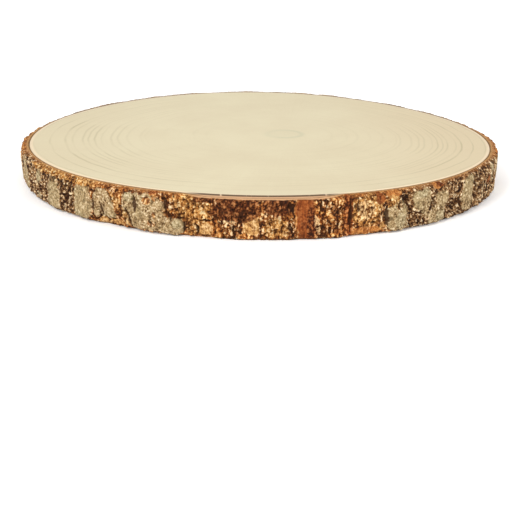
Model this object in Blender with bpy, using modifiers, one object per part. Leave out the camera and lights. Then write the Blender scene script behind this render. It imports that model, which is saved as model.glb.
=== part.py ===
"""A slice sawn across a small tree trunk: a pale disc of wood inside its ring of rough bark.

Metres, +Z up. The base lies on the plane z = 0 with the middle of the slice over the origin.
A place on the bark is given by its turn from the front, which faces -Y, and by its height
above the base. The turn is in degrees and grows towards +X.
"""

import math
import random
from typing import NamedTuple

import bpy
import numpy as np
from mathutils import Matrix, Vector, noise

OBJECT_NAME = "wood_slice"

# Driving sizes of the slice
THICKNESS = 0.021
WOOD_RADIUS = 0.1319
BARK_THICKNESS = 0.0046
SEAM = 0.0003
LEAST_BARK = 0.0018
SAWN_EDGE = 0.0009

# The trunk was not quite round: each wave is its count round the trunk, its height as a
# share of the radius, and the turn at which it stands out most
TRUNK_WAVES = ((2, 0.0293, 42.0), (3, 0.0186, 61.0), (4, 0.004, 0.0))
# The trunk narrows by this much towards the base, and its bark is thickest at the front
TAPER = 0.0008
BARK_WAVE = 0.0007

# Where the bark has shrunk from the wood, along the front
SHRINK_TURN = 1.0
SHRINK_FULL = 11.0
SHRINK_END = 18.0
SHRINK_GAP = 0.0006
SHRINK_DROP = 0.0011
# Where the bark has dried a little lower than the wood, along the back
DRIED_TURN = 185.0
DRIED_FULL = 60.0
DRIED_END = 85.0
DRIED_DROP = 0.0004

# How finely the two pieces are divided
WOOD_SIDES = 240
WOOD_EDGE = 0.0004
BARK_COLUMNS = 396
WALL_ROWS = 10
LOOP_ROWS = WALL_ROWS + 4

# How far each kind of place stands out from the bark's mean face
CRUST = 0.0010
BARED = -0.0011
CRACK = -0.0022
CRUMBLED = -0.0003
SWELL = 0.0006
CRUMBS = 0.0013
GRAIN = 0.0004
# The distances over which the swell and the crumbs go up and down, crumbs being long ones
SWELL_SPAN = 0.028
CRUMB_SPAN = 0.0042
CRUMB_STRETCH = 2.0
# A place is felt in full out to the first share of its half sizes, and not beyond the second.
# The higher the squareness, the boxier its oval.
PLACE_FULL = 0.85
PLACE_END = 1.2
PLACE_SQUARENESS = 2.6

MM = 0.001


class Place(NamedTuple):
    """An oval place on the bark's face, which leans with its top towards +X if lean is positive."""

    turn: float
    height: float
    half_width: float
    half_height: float
    lean: float
    lift: float


def place(turn, height_mm, half_width_mm, half_height_mm, lean, lift):
    """A place whose sizes are given in millimetres."""
    return Place(turn, height_mm * MM, half_width_mm * MM, half_height_mm * MM, lean, lift)


# Smooth plates of the old crust that are still on
CRUST_PLATES = [
    place(-70, 9.5, 6.5, 9, 0, -0.2 * CRUST),
    place(-58.2, 14.4, 3.6, 4.4, 28, CRUST),
    place(-51.3, 7.5, 7.2, 6.6, 0, CRUST),
    place(-50.6, 14.8, 4.4, 3.2, 0, CRUST),
    place(-40.5, 9, 6.6, 9.3, 0, CRUST),
    place(-36.4, 10, 1.7, 6.5, 0, CRUST),
    place(-33.9, 11.3, 5.3, 7.8, -12, CRUST),
    place(-24.3, 10.3, 11.9, 10.3, -5, CRUST),
    place(-17.7, 4.6, 6, 4.8, 0, CRUST),
    place(29.2, 7, 5.6, 7.3, 0, CRUST),
    place(34.8, 15.3, 5, 5, 0, CRUST),
    place(35.4, 8.2, 2, 2.4, 0, CRUST),
    place(39.6, 8.5, 4.8, 8, 0, CRUST),
    place(37.3, 4.5, 2, 3.8, 0, CRUST),
    place(42.9, 15, 4, 4.2, 0, CRUST),
    place(49.5, 11.2, 5.6, 9.2, 0, CRUST),
    place(56.3, 9.5, 1.5, 6, 0, CRUST),
    place(62.2, 15, 4.2, 5, 0, CRUST),
    place(63.2, 5.5, 1.6, 3.2, 0, CRUST),
    place(70.8, 9.5, 8, 10, 0, 0.2 * CRUST),
]

# Places where the crust has flaked off down to the inner bark
BARED_PLACES = [
    place(-58, 20.4, 29, 1.7, 0, BARED),
    place(-42, 19.6, 9, 1.9, 0, BARED),
    place(-34.8, 0.6, 3, 4.2, 0, BARED),
    place(-31, 2.4, 4.8, 1.7, 0, BARED),
    place(-24.7, 2.6, 4.2, 1.2, 0, BARED),
    place(-10.5, 4.4, 3.2, 3.8, 0, BARED),
    place(-1.3, 7.4, 4.2, 4.9, 0, BARED),
    place(9.4, 10.5, 4.7, 12, -3, BARED),
    place(22, 2.7, 9.5, 2, 0, BARED),
    place(24.9, 18, 2.6, 3.2, 0, BARED),
    place(27.9, 19.7, 3.8, 2.2, 0, BARED),
    place(39.2, 20.3, 3.2, 1.7, 0, BARED),
    place(57.5, 20.5, 18, 1.6, 0, BARED),
]

# Cracks that run down the trunk
CRACKS = [
    place(-54.4, 8.4, 1.2, 2.2, 25, CRACK),
    place(-44.3, 6.2, 1.2, 3.6, 0, CRACK),
    place(-37.4, 10, 1.2, 5.4, 0, CRACK),
    place(-36.2, 3, 1.2, 3, 50, CRACK),
    place(-35.15, 8, 1.2, 3.4, -6, CRACK),
    place(-34.1, 3.2, 1.2, 2.4, -42, CRACK),
    place(-27.8, 6.2, 1.2, 6.4, -23, CRACK),
    place(-26.2, 14, 1.3, 5, -6, CRACK),
    place(-19.1, 15.2, 1.2, 6, -3, CRACK),
    place(-18.3, 9.9, 1.2, 2.8, -15, CRACK),
    place(-15.2, 5, 1.2, 4.4, 0, CRACK),
    place(-12.3, 4, 1.2, 2.8, 0, CRACK),
    place(18.3, 11.5, 1.6, 10, 0, CRACK),
    place(26.7, 8.3, 1.2, 5.2, 0, CRACK),
    place(31.6, 11, 1.2, 7, -17, CRACK),
    place(41.6, 3.2, 1.2, 2.2, 0, CRACK),
    place(44.3, 6.3, 2, 1.9, 0, CRACK),
    place(46.6, 6.4, 1.2, 4.8, 0, CRACK),
    place(53.4, 12.6, 1.2, 4.2, 0, CRACK),
    place(65, 8, 2.2, 7, -10, CRACK),
]

# Places that have crumbled into small grains
CRUMBLED_PLACES = [
    place(-62.8, 9.2, 7.2, 9.2, 0, CRUMBLED),
    place(-57, 6.8, 5.2, 5.6, 0, CRUMBLED),
    place(-50.2, 17.2, 5, 2, 0, CRUMBLED),
    place(-45.2, 9.5, 4.6, 9.2, 0, CRUMBLED),
    place(-30.6, 16.5, 3.1, 3.3, 0, CRUMBLED),
    place(-29.8, 9.8, 2.3, 8.6, -37, CRUMBLED),
    place(-23.2, 16.8, 2.4, 2, 0, CRUMBLED),
    place(-22.2, 5, 2.4, 1.6, 0, CRUMBLED),
    place(-21.4, 18.4, 1.3, 2, 0, CRUMBLED),
    place(-17.8, 15.6, 2.6, 5.2, 0, CRUMBLED),
    place(-13.3, 14.2, 9.5, 7.3, 0, CRUMBLED),
    place(-13.4, 4.2, 3.4, 4.4, 0, CRUMBLED),
    place(-6.6, 4.6, 5.2, 3.9, 0, CRUMBLED),
    place(-5, 15.2, 11.5, 6.4, 0, CRUMBLED),
    place(3.5, 9.5, 9, 10.5, 0, CRUMBLED),
    place(14.3, 10.5, 6.7, 11.2, 0, CRUMBLED),
    place(22.2, 13.2, 6.6, 7.6, 0, CRUMBLED),
    place(29.2, 13.2, 2.7, 3.2, 0, CRUMBLED),
    place(32.2, 9.4, 3.4, 9.2, 0, CRUMBLED),
    place(34.2, 4, 3.8, 3.5, 0, CRUMBLED),
    place(37.8, 13.5, 2.6, 4.6, 0, CRUMBLED),
    place(44.4, 8.6, 5.3, 8.8, 0, CRUMBLED),
    place(54.2, 10, 4.8, 9.4, 0, CRUMBLED),
    place(59.8, 9.5, 6.4, 9.6, 0, CRUMBLED),
]

# The side that faces away has the same kinds of place, drawn one after the other. The turns and
# leans are in degrees and the sizes in millimetres, each drawn between a least and a most.
DRAW_SEED = 7
DRAWN_FROM = 75.0
DRAWN_TO = 283.0
DRAWN_LEAN = (-14.0, 14.0)
DRAWN_HALF_WIDTH = (2.5, 9.0)
DRAWN_HALF_HEIGHT = (6.0, 10.0)
DRAWN_RISE = (-4.0, 4.0)
DRAWN_SPACE = (0.5, 1.5)
DRAWN_CRACK_HALF_WIDTH = (1.2, 1.6)
DRAWN_CRACK_HALF_HEIGHT = (3.0, 8.0)
DRAWN_CRACK_RISE = (-6.0, 6.0)


def smooth_step(low, high, value):
    """0 below low and 1 above high, with a smooth rise between them."""
    share = np.clip((value - low) / (high - low), 0.0, 1.0)
    return share * share * (3.0 - 2.0 * share)


def wood_radius(turn):
    """The radius of the wood at a turn from the front."""
    waves = (share * math.cos(math.radians(count * (turn - peak))) for count, share, peak in TRUNK_WAVES)
    return WOOD_RADIUS * (1.0 + sum(waves))


def shrink(turn):
    """1 where the bark has shrunk most from the wood, falling to 0 at the ends of that stretch."""
    return 1.0 - float(smooth_step(SHRINK_FULL, SHRINK_END, abs(turn - SHRINK_TURN)))


def dried(turn):
    """1 where the bark has dried lowest at the back, falling to 0 at the ends of that stretch."""
    apart = abs((turn - DRIED_TURN + 180.0) % 360.0 - 180.0)
    return 1.0 - float(smooth_step(DRIED_FULL, DRIED_END, apart))


def drawn_places():
    """The places on the side that faces away: plates of crust between cracks and bared stretches."""
    draw = random.Random(DRAW_SEED)
    mm_per_degree = math.radians(WOOD_RADIUS + BARK_THICKNESS) / MM
    middle = THICKNESS / 2 / MM
    places = []
    turn = DRAWN_FROM
    while turn < DRAWN_TO:
        half_width = draw.uniform(*DRAWN_HALF_WIDTH)
        turn += half_width / mm_per_degree
        height = middle + draw.uniform(*DRAWN_RISE)
        half_height = draw.uniform(*DRAWN_HALF_HEIGHT)
        lean = draw.uniform(*DRAWN_LEAN)
        lift = draw.choice((CRUST, CRUST, CRUST, BARED, CRUMBLED))
        places.append(place(turn, height, half_width, half_height, lean, lift))
        turn += (half_width + draw.uniform(*DRAWN_SPACE)) / mm_per_degree
        crack_height = middle + draw.uniform(*DRAWN_CRACK_RISE)
        crack_length = draw.uniform(*DRAWN_CRACK_HALF_HEIGHT)
        crack_width = draw.uniform(*DRAWN_CRACK_HALF_WIDTH)
        places.append(place(turn, crack_height, crack_width, crack_length, lean, CRACK))
    return places


def share_of_place(spot, turn, height):
    """How much of a place is felt at a turn and a height: 1 inside it and 0 well outside."""
    apart = (turn - spot.turn + 180.0) % 360.0 - 180.0
    up = height - spot.height
    across = math.radians(apart) * (WOOD_RADIUS + BARK_THICKNESS) - up * math.tan(math.radians(spot.lean))
    reach = abs(across / spot.half_width) ** PLACE_SQUARENESS
    reach += abs(up / spot.half_height) ** PLACE_SQUARENESS
    reach = reach ** (1.0 / PLACE_SQUARENESS)
    return 1.0 - float(smooth_step(PLACE_FULL, PLACE_END, reach))


def wall_relief(places, turn, height):
    """How far the bark's face stands out from its mean face at a turn and a height."""
    angle = math.radians(turn)
    radius = WOOD_RADIUS + BARK_THICKNESS
    spot = Vector((radius * math.sin(angle), -radius * math.cos(angle), height))
    crumbled = 0.0
    relief = SWELL * noise.noise(spot / SWELL_SPAN)
    for one in places:
        share = share_of_place(one, turn, height)
        relief += one.lift * share
        if one.lift == CRUMBLED:
            crumbled = max(crumbled, share)
    along_trunk = Vector((spot.x, spot.y, spot.z / CRUMB_STRETCH))
    relief += (GRAIN + (CRUMBS - GRAIN) * crumbled) * noise.noise(along_trunk / CRUMB_SPAN)
    return relief


def bark_loop(places, turn):
    """Radius and height of each point of the bark's section at a turn: up its face, then round."""
    drop = SHRINK_DROP * shrink(turn) + DRIED_DROP * dried(turn)
    top = THICKNESS - drop
    inner = wood_radius(turn) + SEAM + SHRINK_GAP * shrink(turn)
    mean_face = wood_radius(turn) + BARK_THICKNESS + BARK_WAVE * math.cos(math.radians(turn))
    loop = []
    for row in range(WALL_ROWS):
        height = SAWN_EDGE + (top - 2 * SAWN_EDGE) * row / (WALL_ROWS - 1)
        face = mean_face - TAPER * (1.0 - height / THICKNESS) + wall_relief(places, turn, height)
        loop.append((max(face, inner + LEAST_BARK), height))
    foot_face, head_face = loop[0][0], loop[-1][0]
    loop.append((head_face - SAWN_EDGE, top))
    loop.append((inner, top))
    loop.append((inner, 0.0))
    loop.append((foot_face - SAWN_EDGE, 0.0))
    return loop


def coloured(name, colour, roughness):
    """A material of one colour."""
    material = bpy.data.materials.new(name)
    material.use_nodes = True
    shader = material.node_tree.nodes["Principled BSDF"]
    shader.inputs["Base Color"].default_value = (*colour, 1.0)
    shader.inputs["Roughness"].default_value = roughness
    shader.inputs["Metallic"].default_value = 0.0
    return material


def finish_piece(obj, name, material, collection, sharp_degrees):
    """Names a piece, gives it its material and its shading, and puts it in the object's collection."""
    obj.name = name
    obj.data.name = name
    obj.data.materials.append(material)
    obj.data.shade_smooth()
    obj.data.set_sharp_from_angle(angle=math.radians(sharp_degrees))
    for other in list(obj.users_collection):
        other.objects.unlink(obj)
    collection.objects.link(obj)


def make_wood(collection):
    """The sawn disc of wood, with the trunk's outline and a slightly eased rim."""
    bpy.ops.mesh.primitive_cylinder_add(
        vertices=WOOD_SIDES, radius=1.0, depth=THICKNESS, location=(0, 0, 0)
    )
    disc = bpy.context.object
    for vertex in disc.data.vertices:
        turn = math.degrees(math.atan2(vertex.co.x, -vertex.co.y))
        radius = wood_radius(turn)
        vertex.co.x *= radius
        vertex.co.y *= radius
        vertex.co.z += THICKNESS / 2
    rim = disc.modifiers.new("eased rim", "BEVEL")
    rim.width = WOOD_EDGE
    rim.segments = 1
    rim.limit_method = "ANGLE"
    finish_piece(disc, "wood", coloured("pale wood", (0.79, 0.70, 0.49), 0.6), collection, 30)
    return disc


def make_bark(collection):
    """The ring of bark: a torus whose every section is reshaped into the bark's own."""
    places = CRUST_PLATES + BARED_PLACES + CRACKS + CRUMBLED_PLACES + drawn_places()
    tube_radius = THICKNESS / 2
    bpy.ops.mesh.primitive_torus_add(
        major_segments=BARK_COLUMNS,
        minor_segments=LOOP_ROWS,
        major_radius=WOOD_RADIUS,
        minor_radius=tube_radius,
    )
    ring = bpy.context.object
    loops = {}
    for vertex in ring.data.vertices:
        turn = math.degrees(math.atan2(vertex.co.x, -vertex.co.y))
        out_of_tube = math.hypot(vertex.co.x, vertex.co.y) - WOOD_RADIUS
        round_tube = math.atan2(vertex.co.z, out_of_tube) / math.tau
        row = round(round_tube * LOOP_ROWS) % LOOP_ROWS
        column = round(turn * BARK_COLUMNS / 360)
        if column not in loops:
            loops[column] = bark_loop(places, turn)
        radius, height = loops[column][row]
        angle = math.radians(turn)
        vertex.co = (radius * math.sin(angle), -radius * math.cos(angle), height)
    finish_piece(ring, "bark", coloured("bark", (0.36, 0.22, 0.11), 0.9), collection, 50)
    return ring


def centre_over_origin(pieces):
    """Moves the meshes together so that the whole slice's box is centred over the origin."""
    corners = np.array([vertex.co for piece in pieces for vertex in piece.data.vertices])
    middle = (corners.min(axis=0) + corners.max(axis=0)) / 2
    for piece in pieces:
        piece.data.transform(Matrix.Translation((-middle[0], -middle[1], 0.0)))


def main():
    for obj in list(bpy.data.objects):
        bpy.data.objects.remove(obj)
    collection = bpy.data.collections.new(OBJECT_NAME)
    bpy.context.scene.collection.children.link(collection)
    wood = make_wood(collection)
    bark = make_bark(collection)
    centre_over_origin([wood, bark])


main()
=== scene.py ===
# %% [markdown]
# # A slice of a tree trunk
#
# This notebook dresses a slice of a tree trunk: a pale disc of sawn wood inside a ring of rough bark.
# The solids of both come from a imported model, which stays where it is and gives every size and place.
# Two finer meshes are grown round those solids with Geometry Nodes, and both get materials made of nodes.

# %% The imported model
import math
import random
from typing import NamedTuple

import bpy
import numpy as np
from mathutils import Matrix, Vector, noise


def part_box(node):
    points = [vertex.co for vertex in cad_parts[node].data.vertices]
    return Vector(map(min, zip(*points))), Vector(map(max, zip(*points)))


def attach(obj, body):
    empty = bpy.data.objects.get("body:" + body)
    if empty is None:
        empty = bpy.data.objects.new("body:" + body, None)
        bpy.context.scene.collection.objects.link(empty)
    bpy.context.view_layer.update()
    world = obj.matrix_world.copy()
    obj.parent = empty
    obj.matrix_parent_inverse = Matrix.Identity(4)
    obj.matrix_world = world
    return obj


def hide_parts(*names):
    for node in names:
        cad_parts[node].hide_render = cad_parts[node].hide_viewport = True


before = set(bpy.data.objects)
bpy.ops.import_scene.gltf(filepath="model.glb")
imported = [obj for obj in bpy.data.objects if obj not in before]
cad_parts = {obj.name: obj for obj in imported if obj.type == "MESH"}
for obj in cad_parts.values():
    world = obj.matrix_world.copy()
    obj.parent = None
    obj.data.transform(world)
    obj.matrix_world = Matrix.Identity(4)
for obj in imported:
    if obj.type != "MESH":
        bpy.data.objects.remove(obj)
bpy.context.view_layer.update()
wood_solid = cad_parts["wood"]
bark_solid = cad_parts["bark"]
bark_low, bark_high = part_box("bark")
thickness = bark_high.z
print(f"slice {1000 * (bark_high.x - bark_low.x):.0f} mm across and {1000 * thickness:.0f} mm thick")

# %% [markdown]
# ## The camera
#
# Something flat is pictured from low above it, so that the face is a narrow oval and the rim shows in full.
# The camera stands 62 cm away and 13 degrees above the face. The slice lies above the middle of the
# picture, so the camera is turned to a point a little below it.

# %% The camera
FRAME_PIXELS = 520
CAMERA_DISTANCE = 0.62
CAMERA_ELEVATION = 12.78
METRES_PER_PIXEL = 0.0005993
FACE_PIXEL_ACROSS = 257.6
FACE_PIXEL_DOWN = 133.6

elevation = math.radians(CAMERA_ELEVATION)
face_centre = Vector((0.0, 0.0, thickness))
towards_camera = Vector((0.0, -math.cos(elevation), math.sin(elevation)))
focal_pixels = CAMERA_DISTANCE / METRES_PER_PIXEL
across = Vector((1.0, 0.0, 0.0))
upwards = across.cross(-towards_camera)
centre_pixel = FRAME_PIXELS / 2
aim = -towards_camera
aim -= across * (FACE_PIXEL_ACROSS - centre_pixel) / focal_pixels
aim += upwards * (FACE_PIXEL_DOWN - centre_pixel) / focal_pixels

camera_data = bpy.data.cameras.new("camera")
camera_data.lens = camera_data.sensor_width * focal_pixels / FRAME_PIXELS
camera = bpy.data.objects.new("camera", camera_data)
camera.location = face_centre + towards_camera * CAMERA_DISTANCE
camera.rotation_euler = aim.to_track_quat("-Z", "Y").to_euler()
bpy.context.scene.collection.objects.link(camera)
bpy.context.scene.camera = camera
bpy.context.scene.view_settings.view_transform = "Standard"
print(f"lens {camera_data.lens:.0f} mm")

# %% [markdown]
# ## Light and floor
#
# A light from the upper left gives the bark its small shadows, a weaker one opens the other side, and a
# pale surround fills what is left. The main light is small enough for grains a millimetre across to cast
# shadows. The floor glows faintly, which keeps it white in the slice's own shadow.

# %% Light and floor
FLOOR_SIZE = 12.0
LIGHTS = (
    ("key light", (-0.7, -1.0, 1.05), 0.5, 11.5),
    ("side light", (1.1, -0.7, 0.7), 0.9, 5.7),
    ("back light", (0.2, 1.4, 1.5), 1.6, 7.0),
)
SURROUND = 0.74
FLOOR_GLOW = 0.14

for light_name, place_of_light, light_size, watts in LIGHTS:
    light_data = bpy.data.lights.new(light_name, "AREA")
    light_data.size = light_size
    light_data.energy = watts
    light = bpy.data.objects.new(light_name, light_data)
    light.location = place_of_light
    light.rotation_euler = (face_centre - light.location).to_track_quat("-Z", "Y").to_euler()
    bpy.context.scene.collection.objects.link(light)

world = bpy.data.worlds.new("pale surround")
world.use_nodes = True
surround = world.node_tree.nodes["Background"]
surround.inputs["Color"].default_value = (1.0, 1.0, 1.0, 1.0)
surround.inputs["Strength"].default_value = SURROUND
bpy.context.scene.world = world

bpy.ops.mesh.primitive_plane_add(size=FLOOR_SIZE, location=(0.0, 0.0, 0.0))
floor = bpy.context.object
floor.name = "floor"
floor_material = bpy.data.materials.new("pale floor")
floor_material.use_nodes = True
floor_shader = floor_material.node_tree.nodes["Principled BSDF"]
floor_shader.inputs["Base Color"].default_value = (0.98, 0.98, 0.98, 1.0)
floor_shader.inputs["Roughness"].default_value = 0.9
floor_shader.inputs["Emission Color"].default_value = (1.0, 1.0, 1.0, 1.0)
floor_shader.inputs["Emission Strength"].default_value = FLOOR_GLOW
floor.data.materials.append(floor_material)
print(len(LIGHTS), "lights over a floor", FLOOR_SIZE, "m wide")

# %% [markdown]
# ## Sums with sockets
#
# Geometry Nodes and shaders need a lot of arithmetic, and Math nodes wired by hand are hard to read. A small
# class wraps one output socket, and an ordinary Python expression on it adds the Math nodes. Every other
# kind of node comes from one method.


# %% Sums with sockets
class Value:
    """One output of a node. An expression on it adds the Math nodes that work it out."""

    def __init__(self, tree, socket=None):
        self.tree = tree
        self.socket = socket

    def node(self, kind, settings=None, inputs=None, output=0):
        """Adds any node to this tree: its settings first, then the values or links of its sockets."""
        node = self.tree.nodes.new(kind)
        for name, value in (settings or {}).items():
            if name == "stops":
                set_stops(node.color_ramp, value)
            else:
                setattr(node, name, value)
        for key, value in (inputs or {}).items():
            if isinstance(value, Value):
                self.tree.links.new(value.socket, node.inputs[key])
            else:
                node.inputs[key].default_value = value
        return Value(self.tree, node.outputs[output])

    def math(self, operation, first, second=0.0):
        return self.node("ShaderNodeMath", {"operation": operation}, {0: first, 1: second})

    def __add__(self, other):
        return self.math("ADD", self, other)

    def __radd__(self, other):
        return self.math("ADD", other, self)

    def __sub__(self, other):
        return self.math("SUBTRACT", self, other)

    def __rsub__(self, other):
        return self.math("SUBTRACT", other, self)

    def __mul__(self, other):
        return self.math("MULTIPLY", self, other)

    def __rmul__(self, other):
        return self.math("MULTIPLY", other, self)

    def __truediv__(self, other):
        return self.math("DIVIDE", self, other)

    def __rtruediv__(self, other):
        return self.math("DIVIDE", other, self)

    def __pow__(self, other):
        return self.math("POWER", self, other)

    def __neg__(self):
        return self.math("MULTIPLY", self, -1.0)

    def least(self, other):
        return self.math("MINIMUM", self, other)

    def most(self, other):
        return self.math("MAXIMUM", self, other)

    def step(self, low, high, smooth=True):
        """0 below low and 1 above high, with a rise between them."""
        settings = {"interpolation_type": "SMOOTHSTEP" if smooth else "LINEAR"}
        return self.node("ShaderNodeMapRange", settings, {0: self, 1: low, 2: high, 3: 0.0, 4: 1.0})

    def away_from(self, middle):
        """How far this value is from another, whichever is larger."""
        apart = self - middle
        return apart.math("ABSOLUTE", apart)

    def blend(self, first, second):
        """The first value where this one is 0 and the second where it is 1."""
        return self.node("ShaderNodeMix", {"data_type": "FLOAT"}, {0: self, 2: first, 3: second})

    def tint(self, first, second):
        """The first colour where this value is 0 and the second where it is 1."""
        return self.node("ShaderNodeMix", {"data_type": "RGBA"}, {0: self, 6: first, 7: second}, 2)

    def part(self, axis):
        """One of the three numbers of a vector."""
        return self.node("ShaderNodeSeparateXYZ", {}, {0: self}, axis)

    def times(self, factors):
        """A vector with each of its numbers multiplied."""
        return self.node("ShaderNodeVectorMath", {"operation": "MULTIPLY"}, {0: self, 1: factors})

    def moved_by(self, offset):
        return self.node("ShaderNodeVectorMath", {"operation": "ADD"}, {0: self, 1: offset})

    def scaled(self, length):
        return self.node("ShaderNodeVectorMath", {"operation": "SCALE"}, {0: self, "Scale": length})

    def upright(self):
        """A vector of this length that points up."""
        return self.node("ShaderNodeCombineXYZ", {}, {2: self})

    def level_direction(self):
        """The level direction in which this place lies from the upright axis."""
        level = self.times((1.0, 1.0, 0.0))
        return self.node("ShaderNodeVectorMath", {"operation": "NORMALIZE"}, {0: level})

    def bent_by(self, span, amount):
        """The same place moved a little by smooth noise, by up to half the amount in metres."""
        settings = {"noise_dimensions": "3D"}
        sockets = {"Vector": self, "Scale": 1.0 / span, "Detail": 1.0}
        moved = self.node("ShaderNodeTexNoise", settings, sockets, 1)
        offset = self.node("ShaderNodeVectorMath", {"operation": "SUBTRACT"}, {0: moved, 1: (0.5, 0.5, 0.5)})
        return self.moved_by(offset.times((amount, amount, amount)))

    def grain(self, span, detail=2.0, roughness=0.5, seed=0.0):
        """Smooth noise between 0 and 1 at this place, which goes up and down over a span in metres."""
        settings = {"noise_dimensions": "4D"}
        sockets = {"Vector": self, "W": seed, "Scale": 1.0 / span, "Detail": detail, "Roughness": roughness}
        return self.node("ShaderNodeTexNoise", settings, sockets)

    def cells(self, span, output=0, seed=0.0):
        """Cells of a span in metres at this place: output 0 is the distance, 1 a random colour."""
        sockets = {"Vector": self, "W": seed, "Scale": 1.0 / span}
        return self.node("ShaderNodeTexVoronoi", {"voronoi_dimensions": "4D"}, sockets, output)


def set_stops(ramp, stops):
    """Gives a colour ramp its stops, each a position and a colour."""
    while len(ramp.elements) < len(stops):
        ramp.elements.new(1.0)
    for element, (position, colour) in zip(ramp.elements, stops):
        element.position = position
        element.color = colour


def paint(red, green, blue):
    """A colour as seen on a screen, from 0 to 255, as the linear colour that a node takes."""
    linear = []
    for level in (red, green, blue):
        share = level / 255.0
        linear.append(share / 12.92 if share <= 0.04045 else ((share + 0.055) / 1.055) ** 2.4)
    return (*linear, 1.0)


print("helpers ready")

# %% [markdown]
# ## Growing a mesh
#
# A Geometry Nodes tree is a recipe with named inputs. It is run once, and its result is kept as a plain
# mesh at the origin, so that the piece can be exported as it is.


# %% Growing a mesh
def new_tree(name, inputs):
    """A Geometry Nodes tree with named inputs. It returns the tree, and each input by its name."""
    tree = bpy.data.node_groups.new(name, "GeometryNodeTree")
    tree.interface.new_socket("Geometry", in_out="INPUT", socket_type="NodeSocketGeometry")
    for label, kind in inputs.items():
        tree.interface.new_socket(label, in_out="INPUT", socket_type="NodeSocket" + kind)
    tree.interface.new_socket("Geometry", in_out="OUTPUT", socket_type="NodeSocketGeometry")
    source = tree.nodes.new("NodeGroupInput")
    given = {socket.name: Value(tree, socket) for socket in source.outputs if socket.name}
    return tree, given


def end_tree(geometry, material):
    """Realises what the tree made, gives it its material and hands it on."""
    plain = geometry.node("GeometryNodeRealizeInstances", {}, {0: geometry})
    painted = geometry.node("GeometryNodeSetMaterial", {}, {"Geometry": plain, "Material": material})
    sink = geometry.tree.nodes.new("NodeGroupOutput")
    geometry.tree.links.new(painted.socket, sink.inputs[0])


def keep(geometry, name, value):
    """Stores a value at each point of the mesh under a name, which later trees and materials read."""
    sockets = {"Geometry": geometry, "Name": name, "Value": value}
    return geometry.node("GeometryNodeStoreNamedAttribute", {"data_type": "FLOAT"}, sockets)


def stored(nodes, name):
    """A value stored at each point, in a Geometry Nodes tree."""
    return nodes.node("GeometryNodeInputNamedAttribute", {"data_type": "FLOAT"}, {"Name": name})


def ray_hit(solid, start, direction, output):
    """What a ray from a point finds of the solid: the place that it hits, or how far away that is."""
    reach = {"Target Geometry": solid, "Source Position": start}
    reach |= {"Ray Direction": direction, "Ray Length": 1.0}
    return start.node("GeometryNodeRaycast", {}, reach, output)


def grow(name, tree, values, start=None):
    """Runs a tree on a mesh and keeps the result as a plain mesh whose object sits at the origin."""
    draft = bpy.data.objects.new(name + "_draft", start or bpy.data.meshes.new(name + "_draft"))
    bpy.context.scene.collection.objects.link(draft)
    modifier = draft.modifiers.new("recipe", "NODES")
    modifier.node_group = tree
    known = {item.name: item.identifier for item in tree.interface.items_tree if item.in_out == "INPUT"}
    for label, value in values.items():
        modifier[known[label]] = value
    graph = bpy.context.evaluated_depsgraph_get()
    result = draft.evaluated_get(graph)
    mesh = bpy.data.meshes.new_from_object(result, preserve_all_data_layers=True, depsgraph=graph)
    draft.modifiers.remove(modifier)
    bpy.data.objects.remove(draft)
    mesh.name = name
    piece = bpy.data.objects.new(name, mesh)
    bpy.context.scene.collection.objects.link(piece)
    return piece


def count_triangles(mesh):
    mesh.calc_loop_triangles()
    return len(mesh.loop_triangles)


def enclosed_volume(mesh):
    """The volume inside a closed mesh in cubic centimetres, below 0 if its faces point inwards."""
    mesh.calc_loop_triangles()
    points = np.empty(len(mesh.vertices) * 3)
    mesh.vertices.foreach_get("co", points)
    corners = np.empty(len(mesh.loop_triangles) * 3, np.int32)
    mesh.loop_triangles.foreach_get("vertices", corners)
    triangles = points.reshape(-1, 3)[corners.reshape(-1, 3)]
    return float(np.linalg.det(triangles).sum() / 6.0 * 1e6)


print("trees can be grown")

# %% [markdown]
# ## The sawn wood
#
# Each ring of a tree is the outline that the trunk once had. A polar grid centred on the pith gives the same
# shapes: a spoke runs from the pith to the rim, and the share of the way along it says how old the wood
# is. That share is kept on the mesh as growth, for the material to turn into rings. A ray from the pith
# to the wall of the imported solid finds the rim, so the disc has the solid's outline.

# %% The sawn wood
PITH = Vector((0.017, -0.001, 0.0))
WOOD_SPOKES = 360
FACE_ROWS = 44
SIDE_ROWS = 14
FOOT_ROWS = 20
WOOD_EASE = 0.0002
EASED_FROM = 0.97
SEAM_MERGE = 0.000001


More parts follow.
